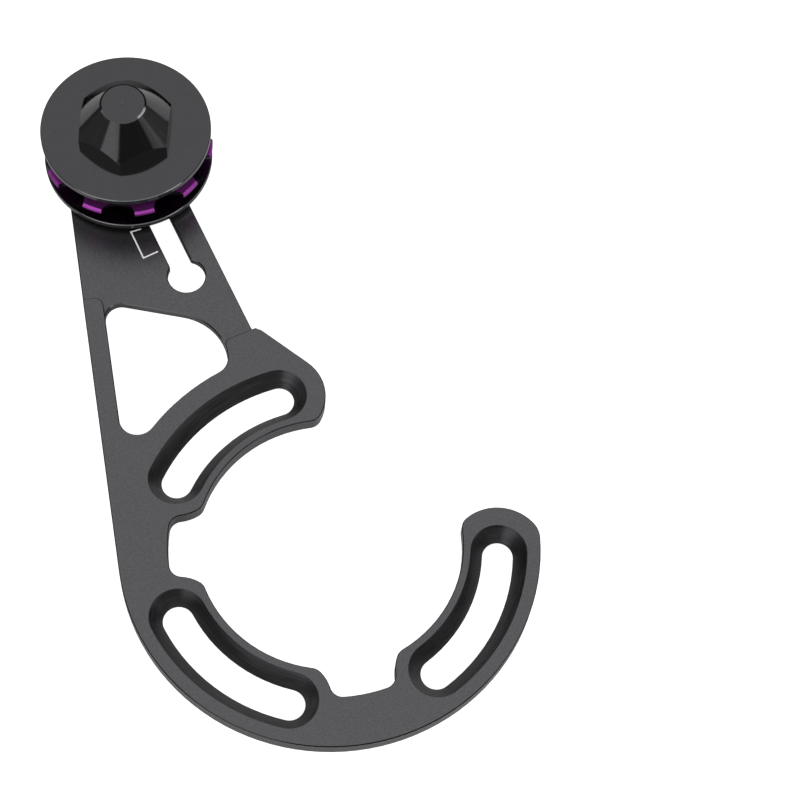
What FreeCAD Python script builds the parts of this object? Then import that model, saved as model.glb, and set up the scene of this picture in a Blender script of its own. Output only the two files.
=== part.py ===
import FreeCAD, Part
import Sketcher
import math
import os

# Bicycle chain guide: a milled aluminium arm with three countersunk arc slots, and a
# toothed roller between two flanges that is clamped in the keyhole slot at its top.
# The origin is the centre of the bolt circle on the arm's flat back face.
# +Z points to the roller's side, +Y up the arm. Lengths are in millimetres.

doc = FreeCAD.newDocument("chain_guide")
sheet = doc.addObject("Spreadsheet::Sheet", "Sizes")

SIZES = [
    # the arm's plate
    ("plate_thickness", 4.0),
    ("recess_depth", 2.0),
    ("edge_break", 0.2),
    ("seat_radius", 46.5),
    # the hook and its slots
    ("bolt_circle_radius", 36.55),
    ("slot_width", 6.7),
    ("slot_span", 48.4),
    ("slot_count", 3.0),
    ("slot_pitch", 100.0),
    ("first_slot_angle", -20.0),
    ("countersink_width", 12.4),
    ("countersink_lip", 0.4),
    ("hook_outer_radius", 45.65),
    ("hook_inner_radius", 28.75),
    ("notch_radius", 34.9),
    ("slot_end_radius", 8.95),
    ("cap_radius", 10.4),
    ("hook_blend", 3.0),
    ("notch_blend", 2.75),
    ("cap_blend", 5.5),
    # the shank above the hook
    ("left_edge_angle", 107.1),
    ("lobe_edge_angle", 150.3),
    ("slot_axis_angle", 122.5),
    ("keyhole_x", -41.31),
    ("keyhole_y", 60.74),
    ("keyhole_radius", 4.3),
    ("keyway_width", 5.1),
    ("keyway_length", 36.0),
    ("keyway_blend", 0.6),
    ("keyway_to_edge", 8.05),
    ("shank_length", 44.0),
    ("shank_corner", 8.0),
    ("flare_radius", 3.0),
    ("bump_radius", 1.5),
    ("bump_turn", 24.0),
    ("step_drop", 19.6),
    ("step_corner", 1.5),
    ("step_turn", 52.5),
    ("step_reach_angle", 45.0),
    ("rib_width", 4.45),
    ("rib_length", 66.6),
    ("rib_corner", 2.0),
    # the window
    ("window_rim_radius", 47.34),
    ("window_corner", 4.0),
    ("window_corner_angle", 129.3),
    ("window_shoulder", 12.6),
    ("window_top_drop", 9.92),
    ("window_top_angle", 177.4),
    ("window_top_corner", 3.5),
    # the roller stack
    ("roller_travel", 33.8),
    ("spacer_height", 1.5),
    ("spacer_radius", 6.5),
    ("flange_radius", 19.45),
    ("flange_thickness", 1.5),
    ("flange_break", 0.15),
    ("ring_spacer_height", 1.15),
    ("ring_spacer_radius", 5.6),
    ("wheel_side_gap", 1.1),
    ("boss_width", 7.1),
    ("boss_radius", 13.8),
    ("boss_break", 0.3),
    ("wheel_radius", 19.69),
    ("tooth_middle", 3.55),
    ("tooth_width", 1.6),
    ("tip_width", 0.7),
    ("tip_bevel", 0.5),
    ("tooth_count", 10.0),
    ("chain_pitch", 12.7),
    ("gullet_radius", 4.05),
    ("tooth_angle", -68.4),
    # the ball bearing
    ("bearing_bore_radius", 4.0),
    ("bearing_radius", 11.0),
    ("bearing_width", 7.0),
    ("bearing_break", 0.3),
    ("ball_count", 7.0),
    ("ball_radius", 1.984),
    ("ball_circle_radius", 7.5),
    ("track_radius", 2.04),
    ("inner_land_radius", 6.05),
    ("outer_land_radius", 9.45),
    ("shield_radius", 9.9),
    ("shield_bore_radius", 6.35),
    ("shield_thickness", 0.3),
    ("shield_inset", 0.05),
    ("cage_inner_radius", 6.75),
    ("cage_outer_radius", 8.25),
    ("cage_back", 2.6),
    ("cage_front", 0.9),
    ("cage_pocket_radius", 2.08),
    # the hub and its screw
    ("hub_height", 10.2),
    ("hub_flats", 20.0),
    ("hub_stock", 1.0),
    ("hub_corner_angle", -86.0),
    ("hub_corner_height", 2.2),
    ("hub_top_radius", 5.07),
    ("hub_top_break", 0.25),
    ("centre_mark_radius", 0.3),
    ("centre_mark_depth", 0.2),
    ("spigot_end_gap", 0.2),
    ("thread_radius", 2.5),
    ("thread_depth", 13.0),
    ("shank_radius", 2.45),
    ("screw_length", 12.0),
    ("head_radius", 4.2),
    ("head_height", 3.5),
    ("head_break", 0.4),
    ("socket_flats", 3.0),
    ("socket_depth", 2.3),
]

for row, (alias, value) in enumerate(SIZES, start=1):
    sheet.set("A%d" % row, alias)
    sheet.set("B%d" % row, str(value))
    sheet.setAlias("B%d" % row, alias)
doc.recompute()

UP = FreeCAD.Vector(0, 0, 1)
CENTRE = FreeCAD.Vector(0, 0, 0)
FULL_TURN = 360.0
OUTSIDE = 20.0
TOLERANCE = 0.001


def size(alias):
    """A driving dimension as a plain number."""
    return float(getattr(sheet, alias))


def heading(angle):
    """Unit vector at an angle in degrees from +X."""
    turn = math.radians(angle)
    return FreeCAD.Vector(math.cos(turn), math.sin(turn), 0)


def left_of(direction):
    """Unit vector a quarter turn to the left of a direction."""
    return FreeCAD.Vector(-direction.y, direction.x, 0)


def crossing(point_a, along_a, point_b, along_b):
    """Where the line through point_a meets the line through point_b."""
    gap = point_b - point_a
    across_b = left_of(along_b)
    return point_a + along_a * (gap.dot(across_b) / along_a.dot(across_b))


def foot(point, on_line, along):
    """The point of a line that is nearest to a given point."""
    return on_line + along * (point - on_line).dot(along)


def at_reach(on_line, along, centre, reach):
    """The farther of a line's two points that lie at a given reach from a centre."""
    near = foot(centre, on_line, along)
    return near + along * math.sqrt(reach ** 2 - (near - centre).Length ** 2)


def rim(centre, towards, radius):
    """The point of a circle that lies towards another point."""
    return centre + (towards - centre).normalize() * radius


class Outline:
    """A closed outline of straight runs and arcs, drawn from end to end."""

    def __init__(self, start):
        self.start = start
        self.here = start
        self.runs = []

    def line(self, end):
        self.runs.append((self.here, end, None, 0))
        self.here = end

    def arc(self, end, centre, turn):
        """An arc about a centre, anticlockwise for turn 1 and clockwise for turn -1."""
        self.runs.append((self.here, end, centre, turn))
        self.here = end

    def corner(self, tip, next_direction, radius):
        """A straight run to a corner and the arc that rounds it."""
        here_direction = (tip - self.here).normalize()
        turn = 1 if left_of(here_direction).dot(next_direction) > 0 else -1
        half = here_direction.getAngle(next_direction) / 2
        reach = radius * math.tan(half)
        first = tip - here_direction * reach
        self.line(first)
        self.arc(tip + next_direction * reach, first + left_of(here_direction) * (turn * radius), turn)

    def close(self):
        self.line(self.start)

    def draw(self, sketch):
        """Adds the runs to a sketch, joined end to end."""
        ends = []
        for start, end, centre, turn in self.runs:
            if centre is None:
                index = sketch.addGeometry(Part.LineSegment(start, end), False)
                ends.append((index, 1, 2))
                continue
            first, last = (start, end) if turn > 0 else (end, start)
            first_angle = math.atan2(first.y - centre.y, first.x - centre.x)
            last_angle = math.atan2(last.y - centre.y, last.x - centre.x)
            if last_angle <= first_angle:
                last_angle += 2 * math.pi
            circle = Part.Circle(centre, UP, (first - centre).Length)
            index = sketch.addGeometry(Part.ArcOfCircle(circle, first_angle, last_angle), False)
            ends.append((index, 1, 2) if turn > 0 else (index, 2, 1))
        for here, after in zip(ends, ends[1:] + ends[:1]):
            sketch.addConstraint(Sketcher.Constraint("Coincident", here[0], here[2], after[0], after[1]))


def origin_plane(body, role):
    """One of a body's own origin planes."""
    for feature in body.Origin.OriginFeatures:
        if feature.Role == role:
            return feature
    raise ValueError("no such plane: " + role)


def new_body(label):
    """An empty body with a label of its own."""
    body = doc.addObject("PartDesign::Body", label)
    body.Label = label
    return body


def new_sketch(body, name, height="0", role="XY_Plane"):
    """A sketch on one of the body's origin planes, raised by an expression."""
    sketch = body.newObject("Sketcher::SketchObject", name)
    sketch.AttachmentSupport = [(origin_plane(body, role), "")]
    sketch.MapMode = "FlatFace"
    if height != "0":
        sketch.setExpression("AttachmentOffset.Base.z", height)
    return sketch


def add_circle(sketch, radius, centre=CENTRE):
    """A circle whose radius is bound to an expression."""
    index = sketch.addGeometry(Part.Circle(centre, UP, 1.0), False)
    if centre == CENTRE:
        sketch.addConstraint(Sketcher.Constraint("Coincident", index, 3, -1, 1))
    else:
        sketch.addConstraint(Sketcher.Constraint("DistanceX", -1, 1, index, 3, centre.x))
        sketch.addConstraint(Sketcher.Constraint("DistanceY", -1, 1, index, 3, centre.y))
    number = sketch.addConstraint(Sketcher.Constraint("Radius", index, 1.0))
    sketch.setExpression("Constraints[%d]" % number, radius)
    return index


def add_hexagon(sketch, across_flats, corner_angle):
    """A regular hexagon about the sketch's origin, with one corner at an angle."""
    radius = across_flats / math.sqrt(3)
    corners = [heading(corner_angle + 60 * step) * radius for step in range(6)]
    outline = Outline(corners[0])
    for corner in corners[1:]:
        outline.line(corner)
    outline.close()
    outline.draw(sketch)


def pad(body, sketch, length, name):
    """A pad whose length is bound to an expression."""
    feature = body.newObject("PartDesign::Pad", name)
    feature.Profile = sketch
    feature.setExpression("Length", length)
    return feature


def pocket(body, sketch, depth, name, upward=False):
    """A pocket, cut down from the sketch, or up from it."""
    feature = body.newObject("PartDesign::Pocket", name)
    feature.Profile = sketch
    feature.setExpression("Length", depth)
    feature.Reversed = upward
    return feature


def turned(body, outline_points, name):
    """A turned blank, from a straight-sided profile of (radius, height) points."""
    sketch = new_sketch(body, name + "_sketch", role="XZ_Plane")
    outline = Outline(FreeCAD.Vector(outline_points[0][0], outline_points[0][1], 0))
    for radius, height in outline_points[1:]:
        outline.line(FreeCAD.Vector(radius, height, 0))
    outline.close()
    outline.draw(sketch)
    feature = body.newObject("PartDesign::Revolution", name)
    feature.Profile = sketch
    feature.ReferenceAxis = (sketch, ["V_Axis"])
    feature.Angle = FULL_TURN
    return feature


def polar_pattern(body, originals, count, angle, name):
    """Copies of features about the body's Z axis."""
    pattern = body.newObject("PartDesign::PolarPattern", name)
    pattern.Originals = originals
    axis = [item for item in body.Origin.OriginFeatures if item.Role == "Z_Axis"][0]
    pattern.Axis = (axis, [""])
    pattern.Angle = angle
    pattern.Occurrences = count
    body.Tip = pattern
    return pattern


def break_edges(body, base, width, name, wanted):
    """A small chamfer on the base feature's edges that pass a test."""
    doc.recompute()
    names = []
    for number, edge in enumerate(base.Shape.Edges, start=1):
        if wanted(edge):
            names.append("Edge%d" % number)
    feature = body.newObject("PartDesign::Chamfer", name)
    feature.Base = (base, names)
    feature.setExpression("Size", width)
    return feature


def break_rims(body, base, radius, width, name):
    """A small chamfer on the base feature's round edges of one radius."""
    def is_rim(edge):
        return abs(getattr(edge.Curve, "Radius", 0) - radius) < TOLERANCE
    return break_edges(body, base, width, name, is_rim)


def ring(label, outer, inner, height, bottom):
    """A flat ring about the roller's axis, sized and placed by expressions."""
    body = new_body(label)
    sketch = new_sketch(body, label + "_sketch")
    add_circle(sketch, outer)
    add_circle(sketch, inner)
    pad(body, sketch, height, label + "_pad")
    seat(body, bottom)
    return body


def seat(item, bottom):
    """Puts a piece on the roller's axis, at a height given by an expression."""
    item.Placement.Base = ROLLER
    item.setExpression("Placement.Base.z", bottom)


# Directions and places that several outlines share.
LEFT_EDGE = heading(size("left_edge_angle"))
LOBE_EDGE = heading(size("lobe_edge_angle"))
SLOT_AXIS = heading(size("slot_axis_angle"))
KEYHOLE = FreeCAD.Vector(size("keyhole_x"), size("keyhole_y"), 0)
ROLLER = KEYHOLE + SLOT_AXIS * size("roller_travel")
LEFT_START = left_of(LEFT_EDGE) * size("hook_outer_radius")
RIGHT_SIDE = KEYHOLE - left_of(SLOT_AXIS) * size("keyway_to_edge")
RIB_START = LEFT_START - left_of(LEFT_EDGE) * size("rib_width")
STEP_START = KEYHOLE - SLOT_AXIS * size("step_drop")

# Heights of the roller's pieces above the arm's back face.
RECESS_FACE = "(Sizes.plate_thickness - Sizes.recess_depth)"
FLANGE_LOW = "(" + RECESS_FACE + " + Sizes.spacer_height)"
WHEEL_LOW = "(" + FLANGE_LOW + " + Sizes.flange_thickness + Sizes.wheel_side_gap)"
BEARING_LOW = "(" + FLANGE_LOW + " + Sizes.flange_thickness + Sizes.ring_spacer_height)"
SPACER_HIGH = "(" + BEARING_LOW + " + Sizes.bearing_width)"
FLANGE_HIGH = "(" + SPACER_HIGH + " + Sizes.ring_spacer_height)"
HUB_LOW = "(" + FLANGE_HIGH + " + Sizes.flange_thickness)"


def slot_end(angle):
    """Centre of a slot's end, at an angle on the bolt circle."""
    return heading(angle) * size("bolt_circle_radius")


def blend_angle(centre_radius, reach):
    """Angle at the origin between a slot's end and a point at a reach from it."""
    bolt = size("bolt_circle_radius")
    cosine = (centre_radius ** 2 + bolt ** 2 - reach ** 2) / (2 * centre_radius * bolt)
    return math.degrees(math.acos(cosine))


def hook_end(outline, angle, side, end_radius, outward):
    """Rounds the hook's inner edge past a slot's end, towards the end or away from it.

    The edge swings about the slot's end at end_radius and meets the hook's inner
    circle in a small arc. side is 1 where the end faces anticlockwise.
    """
    end = slot_end(angle)
    blend = size("hook_blend")
    inner = size("hook_inner_radius")
    centre_radius = inner + blend
    centre = heading(angle + side * blend_angle(centre_radius, end_radius - blend)) * centre_radius
    on_inner = rim(CENTRE, centre, inner)
    on_end = rim(end, centre, end_radius)
    if outward:
        outline.arc(on_inner, CENTRE, -1)
        outline.arc(on_end, centre, 1)
    else:
        outline.arc(on_end, end, 1)
        outline.arc(on_inner, centre, 1)


def notch_side(outline, angle, side, into_notch):
    """The hollow blend between the round at a slot's end and the notch beside it."""
    end = slot_end(angle)
    blend = size("notch_blend")
    notch = size("notch_radius")
    end_radius = size("slot_end_radius")
    centre_radius = notch - blend
    centre = heading(angle + side * blend_angle(centre_radius, end_radius + blend)) * centre_radius
    on_end = rim(end, centre, end_radius)
    on_notch = rim(CENTRE, centre, notch)
    if into_notch:
        outline.arc(on_end, end, 1)
        outline.arc(on_notch, centre, -1)
    else:
        outline.arc(on_notch, CENTRE, -1)
        outline.arc(on_end, centre, -1)


def arm_outline():
    """The arm's outer edge, anticlockwise from the foot of its straight left side."""
    outer = size("hook_outer_radius")
    cap = size("cap_radius")
    half_span = size("slot_span") / 2
    steps = range(int(size("slot_count")))
    mids = [size("first_slot_angle") - size("slot_pitch") * step for step in steps]
    outline = Outline(LEFT_START)

    # outer circle, up to the cap over the right slot's free end
    free_end = mids[0] + half_span
    blend = size("cap_blend")
    centre_radius = outer - blend
    centre = heading(free_end + blend_angle(centre_radius, cap - blend)) * centre_radius
    outline.arc(rim(CENTRE, centre, outer), CENTRE, 1)
    outline.arc(rim(slot_end(free_end), centre, cap), centre, 1)
    hook_end(outline, free_end, 1, cap, False)

    # inner edge, in and out of the two notches
    for mid, following in zip(mids, mids[1:]):
        hook_end(outline, mid - half_span, -1, size("slot_end_radius"), True)
        notch_side(outline, mid - half_span, -1, True)
        notch_side(outline, following + half_span, 1, False)
        hook_end(outline, following + half_span, 1, size("slot_end_radius"), False)

    # cap over the upper slot's free end, and the lobe's straight edge
    last_end = mids[-1] - half_span
    hook_end(outline, last_end, -1, cap, True)
    lobe_start = slot_end(last_end) - left_of(LOBE_EDGE) * cap
    outline.arc(lobe_start, slot_end(last_end), 1)

    # bump at the lobe's top, flaring into the shank's right edge
    flare = size("flare_radius")
    bump = size("bump_radius")
    bump_lift = (flare + bump) * math.cos(math.radians(size("bump_turn"))) - bump
    flare_centre = crossing(
        lobe_start - left_of(LOBE_EDGE) * bump_lift, LOBE_EDGE,
        RIGHT_SIDE - left_of(SLOT_AXIS) * flare, SLOT_AXIS)
    bump_line = lobe_start + left_of(LOBE_EDGE) * bump
    bump_foot = foot(flare_centre, bump_line, LOBE_EDGE)
    bump_centre = bump_foot - LOBE_EDGE * ((flare + bump) * math.sin(math.radians(size("bump_turn"))))
    outline.line(foot(bump_centre, lobe_start, LOBE_EDGE))
    outline.arc(rim(bump_centre, flare_centre, bump), bump_centre, 1)
    outline.arc(foot(flare_centre, RIGHT_SIDE, SLOT_AXIS), flare_centre, -1)

    # rounded top end under the roller, and the straight left side
    top = RIGHT_SIDE + SLOT_AXIS * size("shank_length")
    across = left_of(SLOT_AXIS)
    outline.corner(top, across, size("shank_corner"))
    outline.corner(crossing(top, across, LEFT_START, LEFT_EDGE), LEFT_EDGE * -1, size("shank_corner"))
    outline.close()
    return outline


def recess_outline():
    """The thinned upper plate: bounded by the step line and by the rib, open elsewhere."""
    across = left_of(SLOT_AXIS)
    window = window_places()
    outline = Outline(STEP_START - across * (size("keyway_to_edge") + OUTSIDE))
    into_window = heading(size("slot_axis_angle") + 90 + size("step_turn"))
    entry = window["right"] + heading(size("step_reach_angle")) * size("window_corner")
    shoulder = crossing(STEP_START, across, entry, into_window)
    outline.corner(shoulder, into_window, size("step_corner"))
    outline.line(window["right"])
    outline.line(window["top"])
    outline.line(foot(window["top"], RIB_START, LEFT_EDGE))
    rib_top = RIB_START + LEFT_EDGE * size("rib_length")
    outline.corner(rib_top, left_of(LEFT_EDGE), size("rib_corner"))
    outline.line(rib_top + left_of(LEFT_EDGE) * OUTSIDE)
    outline.line(rib_top + left_of(LEFT_EDGE) * OUTSIDE + LEFT_EDGE * (size("shank_length") + OUTSIDE))
    outline.line(RIGHT_SIDE - across * OUTSIDE + SLOT_AXIS * (size("shank_length") + OUTSIDE))
    outline.close()
    return outline


def window_places():
    """Centres of the window's rounded corners."""
    corner = size("window_corner")
    rim_reach = size("window_rim_radius") + corner
    top_corner = size("window_top_corner")
    top_along = heading(size("window_top_angle"))
    top_line = KEYHOLE + left_of(top_along) * size("window_top_drop")
    inside_rib = RIB_START - left_of(LEFT_EDGE) * corner
    places = {"top_along": top_along, "top_line": top_line}
    places["low"] = at_reach(inside_rib, LEFT_EDGE, CENTRE, rim_reach)
    places["right"] = heading(size("window_corner_angle")) * rim_reach
    places["top"] = crossing(
        RIB_START - left_of(LEFT_EDGE) * top_corner, LEFT_EDGE,
        top_line + left_of(top_along) * top_corner, top_along)
    shoulder = size("window_shoulder")
    places["shoulder"] = at_reach(
        top_line + left_of(top_along) * shoulder, top_along, places["right"], shoulder - corner)
    return places


def window_outline():
    """The window, anticlockwise from the head of its left side."""
    corner = size("window_corner")
    window = window_places()
    top_foot = foot(window["top"], RIB_START, LEFT_EDGE)
    outline = Outline(top_foot)
    outline.line(foot(window["low"], RIB_START, LEFT_EDGE))
    outline.arc(rim(window["low"], CENTRE, corner), window["low"], 1)
    outline.arc(rim(window["right"], CENTRE, corner), CENTRE, -1)
    away = window["right"] * 2 - window["shoulder"]
    outline.arc(rim(window["right"], away, corner), window["right"], 1)
    outline.arc(foot(window["shoulder"], window["top_line"], window["top_along"]), window["shoulder"], 1)
    outline.line(foot(window["top"], window["top_line"], window["top_along"]))
    outline.arc(top_foot, window["top"], 1)
    return outline


def keyhole_outline():
    """The round hole and the slot that leads up from it."""
    across = left_of(SLOT_AXIS)
    half = size("keyway_width") / 2
    hole = size("keyhole_radius")
    blend = size("keyway_blend")
    neck = math.sqrt((hole + blend) ** 2 - (half + blend) ** 2)
    right_blend = KEYHOLE + SLOT_AXIS * neck - across * (half + blend)
    left_blend = KEYHOLE + SLOT_AXIS * neck + across * (half + blend)
    far = KEYHOLE + SLOT_AXIS * size("keyway_length")
    outline = Outline(rim(KEYHOLE, left_blend, hole))
    outline.arc(rim(KEYHOLE, right_blend, hole), KEYHOLE, 1)
    outline.arc(right_blend + across * blend, right_blend, -1)
    outline.line(far - across * half)
    outline.arc(far + across * half, far, 1)
    outline.line(left_blend - across * blend)
    outline.arc(outline.start, left_blend, -1)
    return outline


def slot_outline(half_width):
    """One arc slot about the origin, with round ends."""
    bolt = size("bolt_circle_radius")
    mid = size("first_slot_angle")
    low = heading(mid - size("slot_span") / 2)
    high = heading(mid + size("slot_span") / 2)
    outline = Outline(low * (bolt + half_width))
    outline.arc(high * (bolt + half_width), CENTRE, 1)
    outline.arc(high * (bolt - half_width), high * bolt, 1)
    outline.arc(low * (bolt - half_width), CENTRE, -1)
    outline.arc(outline.start, low * bolt, 1)
    return outline


def make_guide_arm():
    """The arm, milled from plate: outline, recess, window, keyhole and three slots."""
    body = new_body("arm_plate")

    blank = new_sketch(body, "arm_sketch")
    arm_outline().draw(blank)
    pad(body, blank, "Sizes.plate_thickness", "arm_pad")

    recess = new_sketch(body, "recess_sketch", "Sizes.plate_thickness")
    recess_outline().draw(recess)
    pocket(body, recess, "Sizes.recess_depth", "recess_pocket")

    window = new_sketch(body, "window_sketch", "Sizes.plate_thickness")
    window_outline().draw(window)
    pocket(body, window, "Sizes.plate_thickness", "window_pocket")

    keyhole = new_sketch(body, "keyhole_sketch", "Sizes.plate_thickness")
    keyhole_outline().draw(keyhole)
    keyhole_pocket = pocket(body, keyhole, "Sizes.plate_thickness", "keyhole_pocket")
    break_edges(body, keyhole_pocket, "Sizes.edge_break", "edge_chamfer", is_face_edge)

    slot = new_sketch(body, "slot_sketch", "Sizes.plate_thickness")
    slot_outline(size("slot_width") / 2).draw(slot)
    slot_pocket = pocket(body, slot, "Sizes.plate_thickness", "slot_pocket")

    lip = new_sketch(body, "countersink_low_sketch", "Sizes.countersink_lip")
    slot_outline(size("slot_width") / 2).draw(lip)
    mouth = new_sketch(body, "countersink_mouth_sketch", "Sizes.plate_thickness")
    slot_outline(size("countersink_width") / 2).draw(mouth)
    sink = body.newObject("PartDesign::SubtractiveLoft", "countersink_loft")
    sink.Profile = mouth
    sink.Sections = [lip]
    sink.Ruled = True

    count = int(size("slot_count"))
    span = size("slot_pitch") * (count - 1)
    slots = polar_pattern(body, [slot_pocket, sink], count, span, "slot_pattern")
    slots.Reversed = True
    return with_seat(body)


def with_seat(plate):
    """The plate with the round seat of its hook, which lies on the frame, as a face of its own."""
    disc = doc.addObject("Part::Cylinder", "seat_disc")
    disc.setExpression("Radius", "Sizes.seat_radius")
    disc.setExpression("Height", "Sizes.plate_thickness")
    hook = doc.addObject("Part::Common", "hook")
    hook.Base = plate
    hook.Tool = disc
    shank = doc.addObject("Part::Cut", "shank")
    shank.Base = plate
    shank.Tool = disc
    whole = doc.addObject("Part::MultiFuse", "guide_arm")
    whole.Label = "guide_arm"
    whole.Shapes = [hook, shank]
    whole.Refine = False
    return whole


def is_face_edge(edge):
    """True for an edge that lies flat on the arm's back face or its thick front face."""
    heights = [vertex.Z for vertex in edge.Vertexes]
    on_back = max(abs(height) for height in heights) < TOLERANCE
    on_front = max(abs(height - size("plate_thickness")) for height in heights) < TOLERANCE
    return on_back or on_front


def make_toothed_wheel():
    """The roller: a thin toothed disc with bevelled tips, about a boss for the bearing."""
    body = new_body("toothed_wheel")
    bore = size("bearing_radius")
    boss = size("boss_radius")
    broken = boss - size("boss_break")
    width = size("boss_width")
    tip = size("wheel_radius")
    bevel = tip - size("tip_bevel")
    middle = size("tooth_middle")
    half = size("tooth_width") / 2
    half_tip = size("tip_width") / 2
    turned(body, [
        (bore, 0), (broken, 0), (boss, size("boss_break")), (boss, middle - half),
        (bevel, middle - half), (tip, middle - half_tip), (tip, middle + half_tip),
        (bevel, middle + half), (boss, middle + half), (boss, width - size("boss_break")),
        (broken, width), (bore, width)], "wheel_turning")

    count = int(size("tooth_count"))
    pitch_radius = size("chain_pitch") / (2 * math.sin(math.pi / count))
    gullet = new_sketch(body, "gullet_sketch")
    seat_centre = heading(size("tooth_angle") + FULL_TURN / count / 2) * pitch_radius
    add_circle(gullet, "Sizes.gullet_radius", seat_centre)
    cut = pocket(body, gullet, "Sizes.boss_width", "gullet_pocket", upward=True)
    polar_pattern(body, [cut], count, FULL_TURN, "gullet_pattern")
    seat(body, WHEEL_LOW)
    return body


def make_hub_cone():
    """The hub: a turned cone with six milled flats and a spigot that carries the bearing."""
    body = new_body("hub_cone")
    height = size("hub_height")
    corner = size("hub_flats") / math.sqrt(3)
    top = size("hub_top_radius")
    rim_break = size("hub_top_break")
    slope = (corner - top) / (height - size("hub_corner_height"))
    blank = corner + size("hub_stock")
    blank_top = size("hub_corner_height") - size("hub_stock") / slope
    bore = size("bearing_bore_radius")
    spigot = (size("flange_thickness") * 2 + size("ring_spacer_height") * 2
              + size("bearing_width") - size("spigot_end_gap"))
    turned(body, [
        (0, -spigot), (bore, -spigot), (bore, 0), (blank, 0), (blank, blank_top),
        (top + rim_break * slope, height - rim_break), (top - rim_break, height),
        (size("centre_mark_radius"), height), (0, height - size("centre_mark_depth"))],
        "hub_turning")

    flats = new_sketch(body, "flats_sketch", "Sizes.hub_height")
    add_circle(flats, "Sizes.hub_flats")
    add_hexagon(flats, size("hub_flats"), size("hub_corner_angle"))
    pocket(body, flats, "Sizes.hub_height", "flats_pocket")

    thread = new_sketch(body, "thread_sketch")
    thread.AttachmentOffset.Base = FreeCAD.Vector(0, 0, -spigot)
    add_circle(thread, "Sizes.thread_radius")
    pocket(body, thread, "Sizes.thread_depth", "thread_pocket", upward=True)
    seat(body, HUB_LOW)
    return body


def make_clamp_screw():
    """The low-head socket screw that clamps the roller from the arm's back."""
    body = new_body("clamp_screw")
    head = new_sketch(body, "head_sketch")
    add_circle(head, "Sizes.head_radius")
    head_pad = pad(body, head, "Sizes.head_height", "head_pad")
    head_pad.Reversed = True
    break_edges(body, head_pad, "Sizes.head_break", "head_chamfer",
                lambda edge: max(vertex.Z for vertex in edge.Vertexes) < -size("head_height") / 2)
    shank = new_sketch(body, "shank_sketch")
    add_circle(shank, "Sizes.shank_radius")
    shank_pad = pad(body, shank, "Sizes.screw_length", "shank_pad")
    break_edges(body, shank_pad, "Sizes.head_break", "shank_chamfer",
                lambda edge: min(vertex.Z for vertex in edge.Vertexes) > size("screw_length") / 2)
    socket = new_sketch(body, "socket_sketch", "-Sizes.head_height")
    add_hexagon(socket, size("socket_flats"), 0)
    pocket(body, socket, "Sizes.socket_depth", "socket_pocket", upward=True)
    body.Placement.Base = ROLLER
    return body


def make_bearing_ring(label, outer, inner, fitted_radius):
    """One ring of the bearing, with its ball track and its broken fitting edges."""
    body = new_body(label)
    sketch = new_sketch(body, label + "_sketch")
    add_circle(sketch, outer)
    add_circle(sketch, inner)
    blank = pad(body, sketch, "Sizes.bearing_width", label + "_pad")
    break_rims(body, blank, fitted_radius, "Sizes.bearing_break", label + "_chamfer")
    track = new_sketch(body, label + "_track_sketch", role="XZ_Plane")
    middle = FreeCAD.Vector(size("ball_circle_radius"), size("bearing_width") / 2, 0)
    add_circle(track, "Sizes.track_radius", middle)
    groove = body.newObject("PartDesign::Groove", label + "_track")
    groove.Profile = track
    groove.ReferenceAxis = (track, ["V_Axis"])
    groove.Angle = FULL_TURN
    seat(body, BEARING_LOW)
    return body


def cut_shield_seats(body):
    """The steps in the outer ring's two faces that the shields are pressed into."""
    depth = "Sizes.shield_thickness + Sizes.shield_inset"
    low = new_sketch(body, "low_seat_sketch")
    add_circle(low, "Sizes.shield_radius")
    pocket(body, low, depth, "low_seat", upward=True)
    high = new_sketch(body, "high_seat_sketch", "Sizes.bearing_width")
    add_circle(high, "Sizes.shield_radius")
    pocket(body, high, depth, "high_seat")


def make_bearing_balls():
    """The balls, evenly spaced on their circle."""
    count = int(size("ball_count"))
    balls = []
    for number in range(count):
        ball = doc.addObject("Part::Sphere", "ball_%d" % (number + 1))
        ball.setExpression("Radius", "Sizes.ball_radius")
        ball.Placement.Base = ball_place(number)
        balls.append(ball)
    group = doc.addObject("Part::Compound", "bearing_balls")
    group.Label = "bearing_balls"
    group.Links = balls
    seat(group, BEARING_LOW)
    return group


def ball_place(number):
    """Centre of one ball, measured from the bearing's lower face."""
    place = heading(FULL_TURN / size("ball_count") * number) * size("ball_circle_radius")
    place.z = size("bearing_width") / 2
    return place


def make_bearing_cage():
    """The moulded crown cage: a ring whose round pockets snap over the balls."""
    body = new_body("bearing_cage")
    sketch = new_sketch(body, "cage_sketch", "Sizes.bearing_width / 2 - Sizes.cage_back")
    add_circle(sketch, "Sizes.cage_outer_radius")
    add_circle(sketch, "Sizes.cage_inner_radius")
    pad(body, sketch, "Sizes.cage_back + Sizes.cage_front", "cage_pad")
    first = ball_place(0)
    pocket_sketch = new_sketch(body, "cage_pocket_sketch", role="XZ_Plane")
    radius = size("cage_pocket_radius")
    centre = FreeCAD.Vector(first.x, first.z, 0)
    outline = Outline(centre - FreeCAD.Vector(0, radius, 0))
    outline.arc(centre + FreeCAD.Vector(0, radius, 0), centre, 1)
    outline.close()
    outline.draw(pocket_sketch)
    pocket_sketch.addGeometry(Part.LineSegment(
        centre - FreeCAD.Vector(0, radius * 2, 0), centre + FreeCAD.Vector(0, radius * 2, 0)), True)
    round_cut = body.newObject("PartDesign::Groove", "cage_pocket")
    round_cut.Profile = pocket_sketch
    round_cut.ReferenceAxis = (pocket_sketch, ["Axis0"])
    round_cut.Angle = FULL_TURN
    polar_pattern(body, [round_cut], int(size("ball_count")), FULL_TURN, "cage_pattern")
    seat(body, BEARING_LOW)
    return body


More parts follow.
